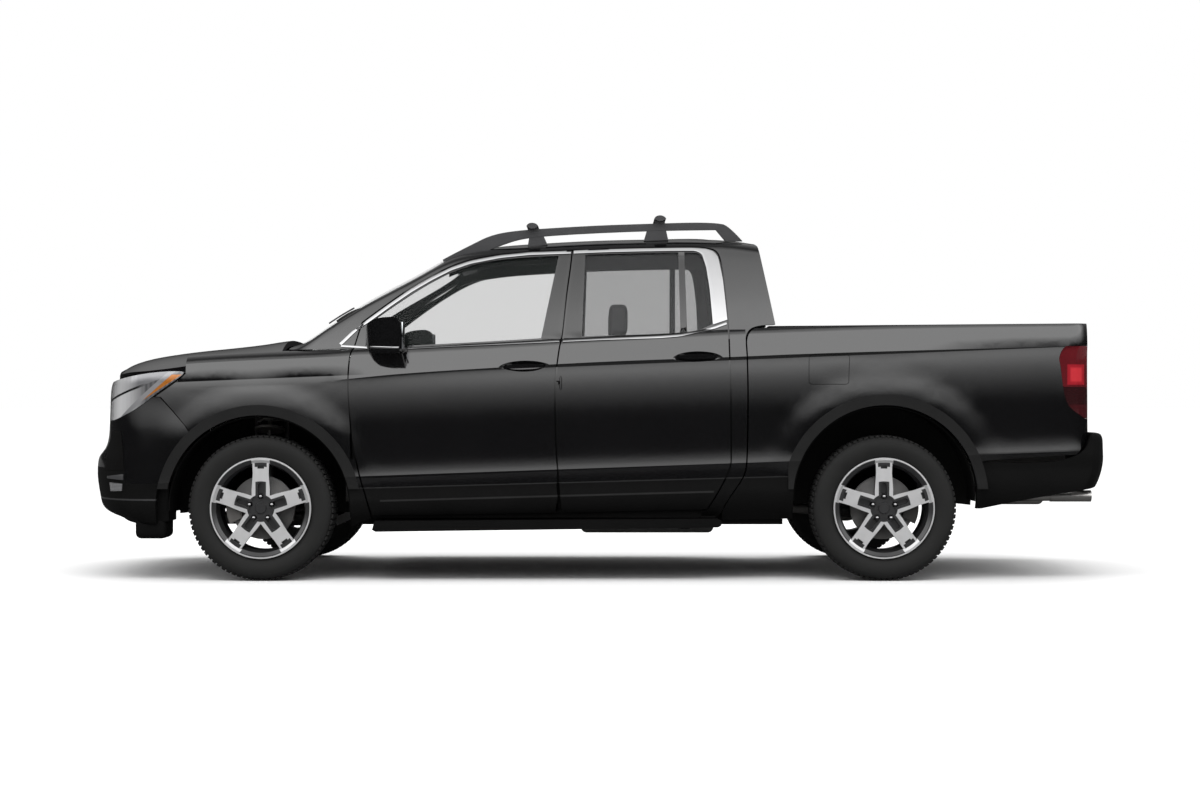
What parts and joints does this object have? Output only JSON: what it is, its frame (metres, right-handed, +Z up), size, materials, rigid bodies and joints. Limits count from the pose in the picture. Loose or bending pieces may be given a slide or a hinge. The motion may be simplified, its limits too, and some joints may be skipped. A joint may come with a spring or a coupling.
{
  "type": "crew-cab pickup truck",
  "caption": "Crew-cab pickup truck with a short load bed, roof rails with crossbars, running boards and a trunk under the bed floor.",
  "frame": {"origin": "on the ground, midway along the truck on its centre plane", "axes": "+X rearwards from the nose, +Y to the truck's right, +Z up"},
  "size_m": [5.341, 2.24, 1.891],
  "materials": {
    "black_paint": "gloss",
    "dark_metal": "satin",
    "trim": "matte",
    "gloss_trim": "gloss",
    "tyre": "matte",
    "alloy": "machined",
    "iron": "matte",
    "glass": "polished",
    "lamp": "gloss",
    "red_lamp": "gloss",
    "steel": "satin",
    "seat": "matte",
    "tank": "matte"
  },
  "bodies": {
    "truck_body": {"floor_pan": "dark_metal", "rear_frame": "dark_metal", "cab_frame": "black_paint", "roof_panel": "black_paint", "front_fenders": "black_paint", "front_bumper": "black_paint", "grille": "gloss_trim", "headlamps": "lamp", "arch_liners": "trim", "side_cladding": "trim", "engine_block": "iron", "front_suspension": "dark_metal", "rear_suspension": "dark_metal", "fixed_glass": "glass", "bed_sides": "black_paint", "bed_liner": "trim", "rear_bumper": "trim", "tail_lamps": "red_lamp", "roof_rack": "trim", "running_boards": "trim", "exhaust": "steel", "fuel_tank": "tank", "seats": "seat", "dashboard": "trim", "hitch_receiver": "dark_metal"},
    "knuckle_left": {"knuckle_left": "iron"},
    "knuckle_right": {"knuckle_right": "iron"},
    "wheel_front_left": {"tyre_front_left": "tyre", "wheel_front_left": "alloy"},
    "wheel_front_right": {"tyre_front_right": "tyre", "wheel_front_right": "alloy"},
    "wheel_rear_left": {"tyre_rear_left": "tyre", "wheel_rear_left": "alloy"},
    "wheel_rear_right": {"tyre_rear_right": "tyre", "wheel_rear_right": "alloy"},
    "door_front_left": {"door_front_left": "black_paint", "glass_front_left": "glass"},
    "door_front_right": {"door_front_right": "black_paint", "glass_front_right": "glass"},
    "door_rear_left": {"door_rear_left": "black_paint", "glass_rear_left": "glass"},
    "door_rear_right": {"door_rear_right": "black_paint", "glass_rear_right": "glass"},
    "hood": {"hood": "black_paint"},
    "tailgate": {"tailgate": "black_paint"},
    "trunk_lid": {"trunk_lid": "trim"},
    "fuel_door": {"fuel_door": "black_paint"},
    "steering_wheel": {"steering_wheel": "trim"}
  },
  "joints": [
    {"name": "front_left_wheel", "type": "hinge", "parent": "knuckle_left", "child": "wheel_front_left", "pos_m": [-1.6905, -0.85, 0.372], "axis": [0, 1, 0], "continuous": true},
    {"name": "front_right_wheel", "type": "hinge", "parent": "knuckle_right", "child": "wheel_front_right", "pos_m": [-1.6905, 0.85, 0.372], "axis": [0, 1, 0], "continuous": true},
    {"name": "rear_left_wheel", "type": "hinge", "parent": "truck_body", "child": "wheel_rear_left", "pos_m": [1.4895, -0.85, 0.372], "axis": [0, 1, 0], "continuous": true},
    {"name": "rear_right_wheel", "type": "hinge", "parent": "truck_body", "child": "wheel_rear_right", "pos_m": [1.4895, 0.85, 0.372], "axis": [0, 1, 0], "continuous": true},
    {"name": "steer_left", "type": "hinge", "parent": "truck_body", "child": "knuckle_left", "pos_m": [-1.6905, -0.792, 0.236], "axis": [0, 0.2588, 0.9659], "range_deg": [-32, 32]},
    {"name": "door_front_left_hinge", "type": "hinge", "parent": "truck_body", "child": "door_front_left", "pos_m": [-1.222, -0.953, 0.742], "axis": [0, -0.026, -0.9997], "range_deg": [0, 66]},
    {"name": "door_rear_left_hinge", "type": "hinge", "parent": "truck_body", "child": "door_rear_left", "pos_m": [-0.16, -0.952, 0.742], "axis": [0, 0, -1], "range_deg": [0, 66]},
    {"name": "steer_right", "type": "hinge", "parent": "truck_body", "child": "knuckle_right", "pos_m": [-1.6905, 0.792, 0.236], "axis": [0, -0.2588, 0.9659], "range_deg": [-32, 32]},
    {"name": "door_front_right_hinge", "type": "hinge", "parent": "truck_body", "child": "door_front_right", "pos_m": [-1.222, 0.953, 0.742], "axis": [0, -0.026, 0.9997], "range_deg": [0, 66]},
    {"name": "door_rear_right_hinge", "type": "hinge", "parent": "truck_body", "child": "door_rear_right", "pos_m": [-0.16, 0.952, 0.742], "axis": [0, 0, 1], "range_deg": [0, 66]},
    {"name": "steering_wheel_turn", "type": "hinge", "parent": "truck_body", "child": "steering_wheel", "pos_m": [-0.69, -0.38, 1.04], "axis": [0.9135, 0, 0.4067], "range_deg": [-480, 480]},
    {"name": "hood_hinge", "type": "hinge", "parent": "truck_body", "child": "hood", "pos_m": [-1.625, 0, 1.19], "axis": [0, 1, 0], "range_deg": [0, 50]},
    {"name": "tailgate_hinge", "type": "hinge", "parent": "truck_body", "child": "tailgate", "pos_m": [2.51, 0, 0.81], "axis": [0, 1, 0], "range_deg": [0, 90]},
    {"name": "trunk_lid_hinge", "type": "hinge", "parent": "truck_body", "child": "trunk_lid", "pos_m": [1.784, 0, 0.862], "axis": [0, -1, 0], "range_deg": [0, 75]},
    {"name": "fuel_door_hinge", "type": "hinge", "parent": "truck_body", "child": "fuel_door", "pos_m": [1.112, -0.962, 1.08], "axis": [0, 0, -1], "range_deg": [0, 85]}
  ],
  "couplings": [
    {"joint": "steer_right", "follows": "steer_left", "ratio": 1},
    {"joint": "steering_wheel_turn", "follows": "steer_left", "ratio": 15}
  ]
}
